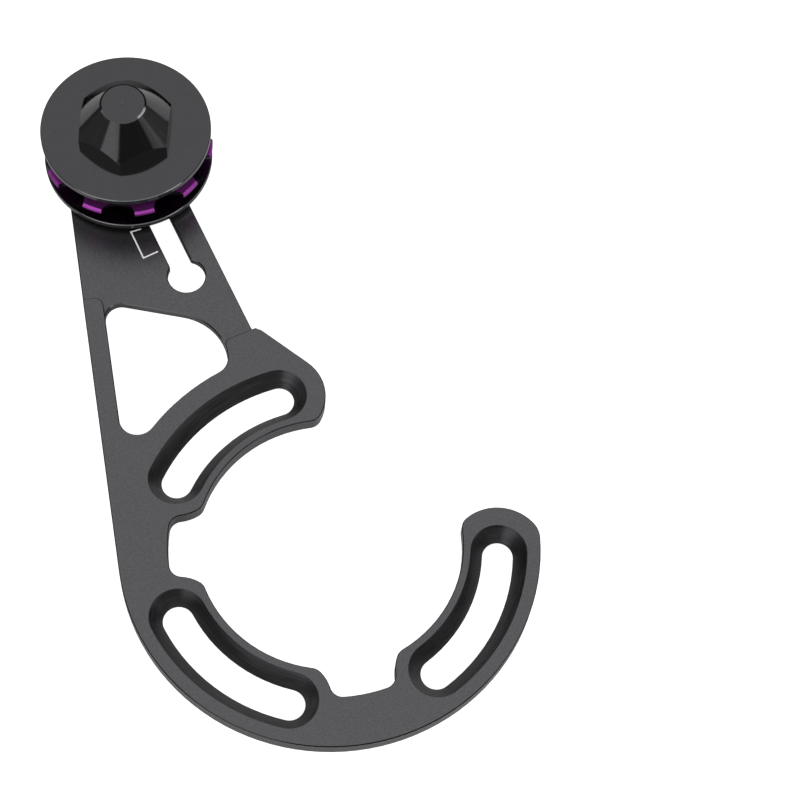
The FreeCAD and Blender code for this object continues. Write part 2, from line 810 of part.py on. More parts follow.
arm = make_guide_arm()
screw = make_clamp_screw()
slot_spacer = ring("slot_spacer", "Sizes.spacer_radius", "Sizes.keyway_width / 2",
                   "Sizes.spacer_height", RECESS_FACE)
inner_flange = ring("inner_flange", "Sizes.flange_radius", "Sizes.bearing_bore_radius",
                    "Sizes.flange_thickness", FLANGE_LOW)
inner_spacer = ring("inner_spacer", "Sizes.ring_spacer_radius", "Sizes.bearing_bore_radius",
                    "Sizes.ring_spacer_height", FLANGE_LOW + " + Sizes.flange_thickness")
inner_ring = make_bearing_ring("bearing_inner_ring", "Sizes.inner_land_radius",
                               "Sizes.bearing_bore_radius", size("bearing_bore_radius"))
outer_ring = make_bearing_ring("bearing_outer_ring", "Sizes.bearing_radius",
                               "Sizes.outer_land_radius", size("bearing_radius"))
cut_shield_seats(outer_ring)
balls = make_bearing_balls()
cage = make_bearing_cage()
inner_shield = ring("inner_shield", "Sizes.shield_radius", "Sizes.shield_bore_radius",
                    "Sizes.shield_thickness", BEARING_LOW + " + Sizes.shield_inset")
outer_shield = ring("outer_shield", "Sizes.shield_radius", "Sizes.shield_bore_radius",
                    "Sizes.shield_thickness",
                    SPACER_HIGH + " - Sizes.shield_inset - Sizes.shield_thickness")
wheel = make_toothed_wheel()
outer_spacer = ring("outer_spacer", "Sizes.ring_spacer_radius", "Sizes.bearing_bore_radius",
                    "Sizes.ring_spacer_height", SPACER_HIGH)
outer_flange = ring("outer_flange", "Sizes.flange_radius", "Sizes.bearing_bore_radius",
                    "Sizes.flange_thickness", FLANGE_HIGH)
hub = make_hub_cone()

for flange in (inner_flange, outer_flange):
    break_rims(flange, flange.Tip, size("flange_radius"), "Sizes.flange_break",
               flange.Label + "_chamfer")

doc.recompute()

pieces = [
    arm, screw, slot_spacer, inner_flange, inner_spacer, inner_ring, outer_ring, balls,
    cage, inner_shield, outer_shield, wheel, outer_spacer, outer_flange, hub]

for item in doc.Objects:
    if "Invalid" in item.State or "Error" in item.State:
        raise RuntimeError("%s did not build" % item.Name)

os.makedirs("parts", exist_ok=True)
for piece in pieces:
    shape = piece.Shape
    if shape.isNull() or not shape.isValid():
        raise RuntimeError("%s has no valid solid" % piece.Label)
    shape.exportStep("parts/%s.step" % piece.Label)
    box = shape.BoundBox
    print("%-20s solids %d volume %9.2f z %.2f to %.2f" % (
        piece.Label, len(shape.Solids), shape.Volume, box.ZMin, box.ZMax))
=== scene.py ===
import math

import bmesh
import bpy
from mathutils import Matrix, Vector


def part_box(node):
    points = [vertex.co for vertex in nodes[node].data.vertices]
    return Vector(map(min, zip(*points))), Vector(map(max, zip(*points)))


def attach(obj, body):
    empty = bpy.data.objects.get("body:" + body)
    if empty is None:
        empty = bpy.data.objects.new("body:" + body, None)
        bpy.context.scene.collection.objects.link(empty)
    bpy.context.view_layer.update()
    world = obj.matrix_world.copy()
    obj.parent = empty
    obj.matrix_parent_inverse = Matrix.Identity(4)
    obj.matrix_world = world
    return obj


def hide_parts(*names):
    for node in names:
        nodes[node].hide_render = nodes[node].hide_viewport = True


# Bicycle chain guide: a flat milled arm that bolts to the bottom bracket, and a toothed
# roller between two flanges that is clamped in the arm's keyhole slot.
# The frame is the arm's: bolt circle centre at the origin, +Z to the roller's side.
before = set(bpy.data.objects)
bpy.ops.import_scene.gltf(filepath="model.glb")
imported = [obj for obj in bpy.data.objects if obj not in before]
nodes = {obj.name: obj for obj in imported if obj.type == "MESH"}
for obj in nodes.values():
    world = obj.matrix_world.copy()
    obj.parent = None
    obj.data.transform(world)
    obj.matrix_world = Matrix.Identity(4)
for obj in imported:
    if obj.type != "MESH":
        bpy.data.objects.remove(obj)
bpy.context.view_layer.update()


# The guide arm is one milled 4 mm aluminium plate, thinned to 2 mm under the roller.
# It is bead blasted and anodised black. Its three arc slots are countersunk after
# blasting, so their cones are smoother and darker than the flat faces.
EDGE_BREAK = 0.00024
# points closer than this are one, and so are faces that differ by less than this angle
WELD = 0.000001
ONE_FACE = math.radians(0.3)
# an edge bent inward past this is an inner corner, and one bent past this is crisp
INNER_CORNER = -0.5
CREASE = math.radians(20)
LONG_EDGE = 0.003
LONG_EDGE_CUTS = 30
# how far a face looks up, from 0 on an upright wall to 1 on a flat face: the middle of
# each kind of face, and how far it reaches to either side
WALL_SLOPE = (0.0, 0.3)
CONE_SLOPE = (0.62, 0.055)
EDGE_SLOPE = (0.72, 0.04)


def hue(code):
    """An sRGB hex colour as linear red, green, blue and alpha."""
    parts = [int(code[place:place + 2], 16) / 255 for place in (1, 3, 5)]
    return [part / 12.92 if part <= 0.04045 else ((part + 0.055) / 1.055) ** 2.4
            for part in parts] + [1]


def add(tree, kind, inputs=(), stops=(), **settings):
    """Adds one node to a tree, with its settings, its colour stops, its values and its links."""
    made = tree.nodes.new(kind)
    for stop, (position, code) in enumerate(stops):
        made.color_ramp.elements[stop].position = position
        made.color_ramp.elements[stop].color = hue(code)
    for name, value in settings.items():
        setattr(made, name, value)
    for socket, value in dict(inputs).items():
        if isinstance(value, bpy.types.NodeSocket):
            tree.links.new(value, made.inputs[socket])
        else:
            made.inputs[socket].default_value = value
    return made


def started(name, metallic):
    """A new material, with its nodes, its shader, and the place that its patterns read."""
    material = bpy.data.materials.new(name)
    material.use_nodes = True
    tree = material.node_tree
    shader = tree.nodes["Principled BSDF"]
    shader.inputs["Metallic"].default_value = metallic
    place = add(tree, "ShaderNodeTexCoord").outputs["Object"]
    return material, tree, shader, place


def blasted_anodised_plate():
    """Black anodised plate: a grey, even, finely speckled sheen, with darker cut cones."""
    material, tree, shader, place = started("blasted_black_anodised_aluminium", 1.0)
    facing = add(tree, "ShaderNodeNewGeometry").outputs["True Normal"]
    slope = add(tree, "ShaderNodeSeparateXYZ", {0: facing}).outputs["Z"]
    wall, cone, edge = [
        add(tree, "ShaderNodeMath", {0: slope, 1: middle, 2: reach}, operation="COMPARE").outputs[0]
        for middle, reach in (WALL_SLOPE, CONE_SLOPE, EDGE_SLOPE)]

    # bead marks are about 0.1 mm wide; drawn at 0.3 mm so that they show
    beads = add(tree, "ShaderNodeTexNoise", {
        "Vector": place, "Scale": 3300.0, "Detail": 3.0, "Roughness": 0.6}).outputs["Fac"]
    face = add(tree, "ShaderNodeValToRGB", {"Fac": beads}, ((0.30, "#636365"), (0.72, "#7b7b7d")))
    # the dye takes a little unevenly, in clouds about 17 mm across
    cloud = add(tree, "ShaderNodeTexNoise", {
        "Vector": place, "Scale": 60.0, "Detail": 2.0}).outputs["Fac"]
    share = add(tree, "ShaderNodeMath", {0: cloud, 1: 0.25}, operation="MULTIPLY").outputs[0]
    colour = add(tree, "ShaderNodeMix", {
        0: share, 6: face.outputs["Color"], 7: hue("#686a6e")}, data_type="RGBA")
    # the milled walls are painted darker: painted shade, standing in for the shaded table that they
    # reflect under the arm
    colour = add(tree, "ShaderNodeMix", {
        0: wall, 6: colour.outputs[2], 7: hue("#5c5c5e")}, data_type="RGBA")
    # the cutter leaves lines round each countersink, about 0.15 mm apart
    stretched = add(tree, "ShaderNodeMapping", {
        "Vector": place, "Scale": (150.0, 150.0, 6500.0)}).outputs[0]
    lines = add(tree, "ShaderNodeTexNoise", {
        "Vector": stretched, "Scale": 1.0, "Detail": 2.0}).outputs["Fac"]
    cut = add(tree, "ShaderNodeValToRGB", {"Fac": lines}, ((0.35, "#4a4a4c"), (0.70, "#606062")))
    colour = add(tree, "ShaderNodeMix", {
        0: cone, 6: colour.outputs[2], 7: cut.outputs["Color"]}, data_type="RGBA")
    # the mill leaves the broken edges shiny; they are also painted darker, a painted dark
    # reflection that draws a dark outline
    colour = add(tree, "ShaderNodeMix", {
        0: edge, 6: colour.outputs[2], 7: hue("#444446")}, data_type="RGBA")
    tree.links.new(colour.outputs[2], shader.inputs["Base Color"])

    blasted = add(tree, "ShaderNodeMapRange", {
        "Value": beads, "To Min": 0.28, "To Max": 0.40}).outputs[0]
    turned = add(tree, "ShaderNodeMapRange", {
        "Value": lines, "To Min": 0.26, "To Max": 0.36}).outputs[0]
    rough = add(tree, "ShaderNodeMix", {0: cone, 2: blasted, 3: turned}).outputs[0]
    rough = add(tree, "ShaderNodeMix", {0: edge, 2: rough, 3: 0.14})
    tree.links.new(rough.outputs[0], shader.inputs["Roughness"])
    depth = add(tree, "ShaderNodeMix", {0: cone, 2: 0.00002, 3: 0.000004}).outputs[0]
    height = add(tree, "ShaderNodeMix", {0: cone, 2: beads, 3: lines}).outputs[0]
    bump = add(tree, "ShaderNodeBump", {"Strength": 0.3, "Distance": depth, "Height": height})
    tree.links.new(bump.outputs[0], shader.inputs["Normal"])
    return material


def stands_out(edge):
    """True for an edge where a flat face meets an upright wall and the corner is convex."""
    rises = sorted(abs(face.normal.z) for face in edge.link_faces)
    return rises[0] < 0.01 and rises[1] > 0.99 and edge.is_convex


def as_piece(name, shape):
    """A finished shape as a new piece, at the origin."""
    mesh = bpy.data.meshes.new(name)
    shape.to_mesh(mesh)
    shape.free()
    piece = bpy.data.objects.new(name, mesh)
    bpy.context.scene.collection.objects.link(piece)
    return piece


def broken_edges(plate):
    """A copy of a flat plate whose outer edges are broken, as the mill leaves them."""
    shape = bmesh.new()
    shape.from_mesh(plate)
    bmesh.ops.remove_doubles(shape, verts=shape.verts[:], dist=WELD)
    bmesh.ops.dissolve_limit(
        shape, angle_limit=ONE_FACE, verts=shape.verts[:], edges=shape.edges[:])
    bmesh.ops.recalc_face_normals(shape, faces=shape.faces[:])
    # the break fades out just before an inner corner, so long edges are cut into short ones
    long_edges = [edge for edge in shape.edges
                  if stands_out(edge) and edge.calc_length() > LONG_EDGE]
    bmesh.ops.bisect_edges(shape, edges=long_edges, cuts=LONG_EDGE_CUTS)
    hollow = [edge for edge in shape.edges if edge.calc_face_angle_signed() < INNER_CORNER]
    inner = {vert for edge in hollow for vert in edge.verts}
    outer = [edge for edge in shape.edges
             if stands_out(edge) and not inner.intersection(edge.verts)]
    bmesh.ops.bevel(
        shape, geom=outer, offset=EDGE_BREAK, segments=1, profile=0.5, affect="EDGES")
    bmesh.ops.triangulate(shape, faces=[face for face in shape.faces if len(face.verts) > 4])
    # smooth along walls and cones, while the flat faces stay flat up to their edges
    for face in shape.faces:
        face.smooth = True
    for edge in shape.edges:
        flat = [abs(face.normal.z) > 0.9999 for face in edge.link_faces]
        edge.smooth = flat[0] == flat[1] and edge.calc_face_angle() < CREASE
    return shape


arm = as_piece("milled_arm", broken_edges(nodes["guide_arm"].data))
arm.data.materials.append(blasted_anodised_plate())
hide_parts("guide_arm")
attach(arm, "arm")


# The setting mark is a thin bracket beside the keyhole slot, printed in white ink on the
# thinned face of the arm. It shows the range in which the roller's screw may be clamped.
MARK_STROKE = 0.00034
MARK_INK = 0.00002
MARK_PATH = [(-0.05363, 0.07124), (-0.05577, 0.07011), (-0.05177, 0.06379), (-0.04878, 0.06596)]
THINNED_FACE = 0.002


def stroke_outline(path, width):
    """The two sides of a stroke along a path, mitred at its corners."""
    points = [Vector(point) for point in path]
    left, right = [], []
    for place, point in enumerate(points):
        into = (point - points[place - 1]).normalized() if place else None
        out_of = (points[place + 1] - point).normalized() if place + 1 < len(points) else None
        ahead = ((into or out_of) + (out_of or into)).normalized()
        across = Vector((-ahead.y, ahead.x))
        along = out_of or into
        reach = width / 2 / across.dot(Vector((-along.y, along.x)))
        left.append(point + across * reach)
        right.append(point - across * reach)
    return left + right[::-1]


def printed_mark():
    """The bracket: a flat outline one ink layer thick, on the thinned face."""
    shape = bmesh.new()
    sides = stroke_outline(MARK_PATH, MARK_STROKE)
    bottom = shape.faces.new([shape.verts.new((side.x, side.y, THINNED_FACE)) for side in sides])
    lifted = bmesh.ops.extrude_face_region(shape, geom=[bottom])["geom"]
    top = [item for item in lifted if isinstance(item, bmesh.types.BMVert)]
    bmesh.ops.translate(shape, vec=(0, 0, MARK_INK), verts=top)
    bmesh.ops.triangulate(shape, faces=shape.faces[:])
    bmesh.ops.recalc_face_normals(shape, faces=shape.faces[:])
    return shape


def white_ink():
    """White printing ink: an even, slightly broken matt white over the black plate."""
    material, tree, shader, place = started("white_printing_ink", 0.0)
    # the ink thins over the blasted grain, about 0.2 mm apart
    thin = add(tree, "ShaderNodeTexNoise", {
        "Vector": place, "Scale": 4500.0, "Detail": 2.0}).outputs["Fac"]
    tone = add(tree, "ShaderNodeValToRGB", {"Fac": thin}, ((0.25, "#ececed"), (0.50, "#fcfcfc")))
    tree.links.new(tone.outputs["Color"], shader.inputs["Base Color"])
    rough = add(tree, "ShaderNodeMapRange", {
        "Value": thin, "To Min": 0.5, "To Max": 0.7}).outputs[0]
    tree.links.new(rough, shader.inputs["Roughness"])
    bump = add(tree, "ShaderNodeBump", {"Strength": 0.2, "Distance": 0.00001, "Height": thin})
    tree.links.new(bump.outputs[0], shader.inputs["Normal"])
    return material


mark = as_piece("setting_mark", printed_mark())
mark.data.materials.append(white_ink())
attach(mark, "arm")


# The two flanges keep the chain on the roller. They and their spacers are turned from
# aluminium bar, polished and anodised black, and they stack on the hub's spigot.


def dress(name, material):
    """Puts one material on a CAD node."""
    slots = nodes[name].data.materials
    slots.clear()
    slots.append(material)


def from_axis(tree, place):
    """How far a place is from the roller's axis, for patterns that run round it."""
    low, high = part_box("bearing_outer_ring")
    axis = (low + high) / 2
    centred = add(tree, "ShaderNodeMapping", {
        "Vector": place, "Location": (-axis.x, -axis.y, 0)}).outputs[0]
    flat = add(tree, "ShaderNodeVectorMath", {
        0: centred, 1: (1, 1, 0)}, operation="MULTIPLY").outputs[0]
    return add(tree, "ShaderNodeVectorMath", {0: flat}, operation="LENGTH").outputs["Value"]


def turned_anodised(name, tones, roughness, ring_width, ring_depth):
    """Black anodised turned aluminium: a dark mirror with faint lathe rings and a few nicks."""
    material, tree, shader, place = started(name, 1.0)
    lift = add(tree, "ShaderNodeSeparateXYZ", {0: place}).outputs["Z"]
    # rings follow the tool over faces and walls alike
    feed = add(tree, "ShaderNodeMath", {
        0: from_axis(tree, place), 1: lift}, operation="ADD").outputs[0]
    rings = add(tree, "ShaderNodeTexNoise", {
        "W": feed, "Scale": 1 / ring_width, "Detail": 2.0}, noise_dimensions="1D").outputs["Fac"]
    # the dye varies in grains of about 0.7 mm
    grain = add(tree, "ShaderNodeTexNoise", {
        "Vector": place, "Scale": 1500.0, "Detail": 3.0}).outputs["Fac"]
    mixed = add(tree, "ShaderNodeMix", {0: 0.6, 2: rings, 3: grain}).outputs[0]
    tone = add(tree, "ShaderNodeValToRGB", {"Fac": mixed}, zip((0.32, 0.68), tones))
    # nicks show bare metal: 0.2 mm across, and one or two in each 10 mm
    spots = add(tree, "ShaderNodeTexVoronoi", {"Vector": place, "Scale": 110.0}).outputs["Distance"]
    nick = add(tree, "ShaderNodeMapRange", {
        "Value": spots, "From Min": 0.010, "From Max": 0.024,
        "To Min": 0.4, "To Max": 0.0}).outputs[0]
    colour = add(tree, "ShaderNodeMix", {
        0: nick, 6: tone.outputs["Color"], 7: hue("#b4b2ad")}, data_type="RGBA")
    tree.links.new(colour.outputs[2], shader.inputs["Base Color"])
    rough = add(tree, "ShaderNodeMapRange", {
        "Value": mixed, "To Min": roughness[0], "To Max": roughness[1]}).outputs[0]
    tree.links.new(rough, shader.inputs["Roughness"])
    bump = add(tree, "ShaderNodeBump", {"Strength": 0.2, "Distance": ring_depth, "Height": rings})
    tree.links.new(bump.outputs[0], shader.inputs["Normal"])
    return material


# lathe rings are about 0.1 mm apart; drawn at 0.25 mm so that they show
flange_finish = turned_anodised(
    "turned_black_anodised_aluminium", tones=("#5b5b5d", "#616163"), roughness=(0.09, 0.12),
    ring_width=0.00025, ring_depth=0.000002)
for name in ("slot_spacer", "inner_spacer", "outer_spacer", "outer_flange"):
    dress(name, flange_finish)
# the flange next to the arm is left as turned, a little less polished
dress("inner_flange", turned_anodised(
    "plain_turned_black_anodised_aluminium", tones=("#5a5a5c", "#606062"),
    roughness=(0.14, 0.19), ring_width=0.00025, ring_depth=0.000002))


# A standard shielded ball bearing carries the toothed wheel. Its rings, balls and shields
# are hardened steel, ground bright, and its crown cage is moulded nylon. It is pressed
# into the wheel, and the boss and the flanges hide it.


def ground_steel():
    """Ground bearing steel: bright, with fine rings from the grinding wheel."""
    material, tree, shader, place = started("ground_bearing_steel", 1.0)
    # grinding rings about 0.08 mm apart
    rings = add(tree, "ShaderNodeTexNoise", {
        "W": from_axis(tree, place), "Scale": 12000.0, "Detail": 1.0},
        noise_dimensions="1D").outputs["Fac"]
    tone = add(tree, "ShaderNodeValToRGB", {"Fac": rings}, ((0.0, "#a9adb2"), (1.0, "#c9ccd0")))
    tree.links.new(tone.outputs["Color"], shader.inputs["Base Color"])
    rough = add(tree, "ShaderNodeMapRange", {
        "Value": rings, "To Min": 0.18, "To Max": 0.32}).outputs[0]
    tree.links.new(rough, shader.inputs["Roughness"])
    bump = add(tree, "ShaderNodeBump", {"Strength": 0.15, "Distance": 0.000005, "Height": rings})
    tree.links.new(bump.outputs[0], shader.inputs["Normal"])
    return material


def moulded_nylon():
    """Natural moulded nylon: creamy, slightly cloudy and half matt."""
    material, tree, shader, place = started("moulded_nylon", 0.0)
    # cloudiness in the melt, about 1 mm across
    cloud = add(tree, "ShaderNodeTexNoise", {
        "Vector": place, "Scale": 1000.0, "Detail": 2.0}).outputs["Fac"]
    tone = add(tree, "ShaderNodeValToRGB", {"Fac": cloud}, ((0.0, "#cfc8b6"), (1.0, "#e2ddcf")))
    tree.links.new(tone.outputs["Color"], shader.inputs["Base Color"])
    rough = add(tree, "ShaderNodeMapRange", {
        "Value": cloud, "To Min": 0.42, "To Max": 0.58}).outputs[0]
    tree.links.new(rough, shader.inputs["Roughness"])
    bump = add(tree, "ShaderNodeBump", {"Strength": 0.1, "Distance": 0.00002, "Height": cloud})
    tree.links.new(bump.outputs[0], shader.inputs["Normal"])
    return material


bearing_steel = ground_steel()
for name in ("bearing_inner_ring", "bearing_outer_ring", "bearing_balls",
             "inner_shield", "outer_shield"):
    dress(name, bearing_steel)
dress("bearing_cage", moulded_nylon())


# The chain runs on the toothed wheel: a thin disc of ten teeth about a boss that holds
# the bearing. It is milled from aluminium and anodised purple. Round gullets seat the
# chain's rollers, and the tips are bevelled so that the links drop over them.
TEETH = 10
GULLET_STEPS = 20
TIP_STEPS = 8
PITCH_RADIUS = 0.0127 / 2 / math.sin(math.pi / TEETH)
GULLET_RADIUS = 0.00405
TIP_RADIUS = 0.01969
# this far in from the tips, the walls begin to be painted dark: painted shade between the flanges
TIP_BAND = 0.0003
# how far a gullet's arc swings to either side before it reaches the tips
GULLET_SPAN = math.acos((PITCH_RADIUS ** 2 + GULLET_RADIUS ** 2 - TIP_RADIUS ** 2)
                        / (2 * PITCH_RADIUS * GULLET_RADIUS))
WHEEL_SIZES = {
    "Pitch Radius": PITCH_RADIUS, "Gullet Radius": GULLET_RADIUS, "Gullet Span": GULLET_SPAN,
    "First Gullet": math.radians(-50.4), "Edge Break": 0.00005,
    "Bore Radius": 0.011, "Boss Edge Radius": 0.0135, "Boss Radius": 0.0138,
    "Face Radius": 0.01919, "Tip Radius": TIP_RADIUS,
    "Boss Edge Low": 0.0003, "Face Low": 0.00275, "Tip Low": 0.0032,
    "Tip High": 0.0039, "Face High": 0.00435, "Boss Edge High": 0.0068, "Boss High": 0.0071}
# one section of the wheel, from bore to bore: each row's radius, its height, and how much
# wider its gullets are, where None stands for nothing
WHEEL_SECTION = [
    ("Bore Radius", None, None), ("Boss Edge Radius", None, None),
    ("Boss Radius", "Boss Edge Low", None), ("Boss Radius", "Face Low", None),
    ("Face Radius", "Face Low", "Edge Break"), ("Tip Radius", "Tip Low", None),
    ("Tip Radius", "Tip High", None), ("Face Radius", "Face High", "Edge Break"),
    ("Boss Radius", "Face High", None), ("Boss Radius", "Boss Edge High", None),
    ("Boss Edge Radius", "Boss High", None), ("Bore Radius", "Boss High", None),
    ("Bore Radius", None, None)]


def wheel_shape():
    """The wheel as a flat grid, wound round the axis and round its own section."""
    tree = bpy.data.node_groups.new("toothed_wheel_shape", "GeometryNodeTree")
    tree.interface.new_socket("Geometry", in_out="OUTPUT", socket_type="NodeSocketGeometry")
    tree.interface.new_socket("Teeth", in_out="INPUT", socket_type="NodeSocketInt")
    for name in WHEEL_SIZES:
        tree.interface.new_socket(name, in_out="INPUT", socket_type="NodeSocketFloat")
    tree.interface.new_socket("Centre", in_out="INPUT", socket_type="NodeSocketVector")
    tree.interface.new_socket("Finish", in_out="INPUT", socket_type="NodeSocketMaterial")
    given = add(tree, "NodeGroupInput").outputs

    # the grid gives each point its step round the wheel and its row of the section
    rows = len(WHEEL_SECTION)
    steps = float(GULLET_STEPS + TIP_STEPS)
    length = add(tree, "ShaderNodeMath", {
        0: given["Teeth"], 1: steps}, operation="MULTIPLY").outputs[0]
    columns = add(tree, "ShaderNodeMath", {0: length, 1: 1.0}, operation="ADD").outputs[0]
    grid = add(tree, "GeometryNodeMeshGrid", {
        "Size X": length, "Size Y": float(rows - 1), "Vertices X": columns, "Vertices Y": rows})
    spot = add(tree, "GeometryNodeInputPosition").outputs[0]
    spot = add(tree, "ShaderNodeSeparateXYZ", {0: spot}).outputs
    along = add(tree, "ShaderNodeMath", {
        0: length, 1: 0.5, 2: spot["X"]}, operation="MULTIPLY_ADD").outputs[0]
    around = add(tree, "ShaderNodeMath", {0: along}, operation="ROUND").outputs[0]
    across = add(tree, "ShaderNodeMath", {
        0: spot["Y"], 1: (rows - 1) / 2}, operation="ADD").outputs[0]
    row = add(tree, "ShaderNodeMath", {0: across}, operation="ROUND").outputs[0]
    picked = []
    for column in range(3):
        choice = add(tree, "GeometryNodeIndexSwitch", data_type="FLOAT")
        while len(choice.index_switch_items) < rows:
            choice.index_switch_items.new()
        tree.links.new(row, choice.inputs[0])
        for number, entry in enumerate(WHEEL_SECTION):
            if entry[column]:
                tree.links.new(given[entry[column]], choice.inputs[number + 1])
        picked.append(choice.outputs[0])
    radius, height, opening = picked

    # which tooth, and how far along its gullet or over its tip
    tooth = add(tree, "ShaderNodeMath", {0: around, 1: steps}, operation="DIVIDE").outputs[0]
    tooth = add(tree, "ShaderNodeMath", {0: tooth}, operation="FLOOR").outputs[0]
    step = add(tree, "ShaderNodeMath", {
        0: tooth, 1: -steps, 2: around}, operation="MULTIPLY_ADD").outputs[0]
    share = add(tree, "ShaderNodeMapRange", {
        "Value": step, "From Max": float(GULLET_STEPS), "To Min": 1.0, "To Max": -1.0}).outputs[0]
    over_tip = add(tree, "ShaderNodeMapRange", {
        "Value": step, "From Min": float(GULLET_STEPS), "From Max": steps}).outputs[0]

    # a gullet's arc swings about a chain roller, whose centre is on the pitch circle
    seat = add(tree, "ShaderNodeMath", {
        0: given["Gullet Radius"], 1: opening}, operation="ADD").outputs[0]
    lowest = add(tree, "ShaderNodeMath", {
        0: given["Pitch Radius"], 1: seat}, operation="SUBTRACT").outputs[0]
    lowest = add(tree, "ShaderNodeCombineXYZ", {0: lowest}).outputs[0]
    roller = add(tree, "ShaderNodeCombineXYZ", {0: given["Pitch Radius"]}).outputs[0]
    swing = add(tree, "ShaderNodeMath", {
        0: share, 1: given["Gullet Span"]}, operation="MULTIPLY").outputs[0]
    arc = add(tree, "ShaderNodeVectorRotate", {
        "Vector": lowest, "Center": roller, "Angle": swing}, rotation_type="Z_AXIS").outputs[0]
    reach = add(tree, "ShaderNodeVectorMath", {0: arc}, operation="LENGTH").outputs["Value"]
    sides = add(tree, "ShaderNodeSeparateXYZ", {0: arc}).outputs
    angle = add(tree, "ShaderNodeMath", {
        0: sides["Y"], 1: sides["X"]}, operation="ARCTAN2").outputs[0]

    # a tip runs from one gullet's end to the next one's start
    period = add(tree, "ShaderNodeMath", {
        0: 2 * math.pi, 1: given["Teeth"]}, operation="DIVIDE").outputs[0]
    tip = add(tree, "ShaderNodeMath", {
        0: angle, 1: -2.0, 2: period}, operation="MULTIPLY_ADD").outputs[0]
    angle = add(tree, "ShaderNodeMath", {
        0: tip, 1: over_tip, 2: angle}, operation="MULTIPLY_ADD").outputs[0]
    angle = add(tree, "ShaderNodeMath", {
        0: tooth, 1: period, 2: angle}, operation="MULTIPLY_ADD").outputs[0]
    angle = add(tree, "ShaderNodeMath", {
        0: angle, 1: given["First Gullet"]}, operation="ADD").outputs[0]

    # each row stays inside its own radius
    held = add(tree, "ShaderNodeMath", {0: reach, 1: radius}, operation="MINIMUM").outputs[0]
    point = add(tree, "ShaderNodeCombineXYZ", {0: held, 2: height}).outputs[0]
    point = add(tree, "ShaderNodeVectorRotate", {
        "Vector": point, "Angle": angle}, rotation_type="Z_AXIS").outputs[0]
    point = add(tree, "ShaderNodeVectorMath", {
        0: point, 1: given["Centre"]}, operation="ADD").outputs[0]
    wound = add(tree, "GeometryNodeSetPosition", {
        "Geometry": grid.outputs["Mesh"], "Position": point})
    closed = add(tree, "GeometryNodeMergeByDistance", {
        "Geometry": wound.outputs[0], "Distance": WELD})
    real = add(tree, "GeometryNodeRealizeInstances", {"Geometry": closed.outputs[0]})
    done = add(tree, "GeometryNodeSetMaterial", {
        "Geometry": real.outputs[0], "Material": given["Finish"]})
    add(tree, "NodeGroupOutput", {0: done.outputs[0]})
    return tree


def grown(name, mesh, tree, values):
    """A plain mesh object, made from a mesh by a Geometry Nodes tree and named values."""
    piece = bpy.data.objects.new(name, mesh)
    bpy.context.scene.collection.objects.link(piece)
    modifier = piece.modifiers.new("shape", "NODES")
    modifier.node_group = tree
    for item in tree.interface.items_tree:
        if item.in_out == "INPUT" and item.name in values:
            modifier[item.identifier] = values[item.name]
    graph = bpy.context.evaluated_depsgraph_get()
    graph.update()
    shape = bpy.data.meshes.new_from_object(piece.evaluated_get(graph))
    piece.modifiers.clear()
    piece.data = shape
    return piece


def rounded_look(piece, degrees):
    """Faces turned outward, and smooth shading that stays crisp at edges past an angle."""
    shape = bmesh.new()
    shape.from_mesh(piece.data)
    bmesh.ops.recalc_face_normals(shape, faces=shape.faces[:])
    if shape.calc_volume(signed=True) < 0:
        bmesh.ops.reverse_faces(shape, faces=shape.faces[:])
    shape.to_mesh(piece.data)
    shape.free()
    for polygon in piece.data.polygons:
        polygon.use_smooth = True
    piece.data.set_sharp_from_angle(angle=math.radians(degrees))


def purple_anodised():
    """Purple anodised milled aluminium: a deep, satin dye over bright metal."""
    material, tree, shader, place = started("milled_purple_anodised_aluminium", 1.0)
    # the cutter's marks are about 0.2 mm apart, and the dye takes in patches of 1 mm
    marks = add(tree, "ShaderNodeTexNoise", {
        "Vector": place, "Scale": 5000.0, "Detail": 2.0}).outputs["Fac"]
    patch = add(tree, "ShaderNodeTexNoise", {
        "Vector": place, "Scale": 1000.0, "Detail": 1.0}).outputs["Fac"]
    mixed = add(tree, "ShaderNodeMix", {0: 0.5, 2: marks, 3: patch}).outputs[0]
    tone = add(tree, "ShaderNodeValToRGB", {"Fac": mixed}, ((0.30, "#983e9e"), (0.70, "#b04eb2")))
    # the gullets and the boss are cut smoother, and their walls are painted nearly black: painted
    # shade between the flanges
    within = add(tree, "ShaderNodeMath", {
        0: from_axis(tree, place), 1: TIP_RADIUS - TIP_BAND}, operation="LESS_THAN").outputs[0]
    facing = add(tree, "ShaderNodeNewGeometry").outputs["True Normal"]
    slope = add(tree, "ShaderNodeSeparateXYZ", {0: facing}).outputs["Z"]
    wall = add(tree, "ShaderNodeMath", {
        0: slope, 1: WALL_SLOPE[0], 2: WALL_SLOPE[1]}, operation="COMPARE").outputs[0]
    shaded_gullet = add(tree, "ShaderNodeMath", {0: within, 1: wall}, operation="MULTIPLY").outputs[0]
    colour = add(tree, "ShaderNodeMix", {
        0: shaded_gullet, 6: tone.outputs["Color"], 7: hue("#281c2e")}, data_type="RGBA")
    tree.links.new(colour.outputs[2], shader.inputs["Base Color"])
    satin = add(tree, "ShaderNodeMapRange", {
        "Value": mixed, "To Min": 0.44, "To Max": 0.58}).outputs[0]
    rough = add(tree, "ShaderNodeMix", {0: shaded_gullet, 2: satin, 3: 0.14}).outputs[0]
    tree.links.new(rough, shader.inputs["Roughness"])
    bump = add(tree, "ShaderNodeBump", {"Strength": 0.15, "Distance": 0.00001, "Height": marks})
    tree.links.new(bump.outputs[0], shader.inputs["Normal"])
    return material


ring_low, ring_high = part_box("bearing_outer_ring")
ring_centre = (ring_low + ring_high) / 2
wheel_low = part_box("toothed_wheel")[0]
wheel = grown("chain_wheel", bpy.data.meshes.new("chain_wheel"), wheel_shape(), {
    **WHEEL_SIZES, "Teeth": TEETH, "Finish": purple_anodised(),
    "Centre": (ring_centre.x, ring_centre.y, wheel_low.z)})
rounded_look(wheel, degrees=20)
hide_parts("toothed_wheel")
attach(wheel, "wheel")


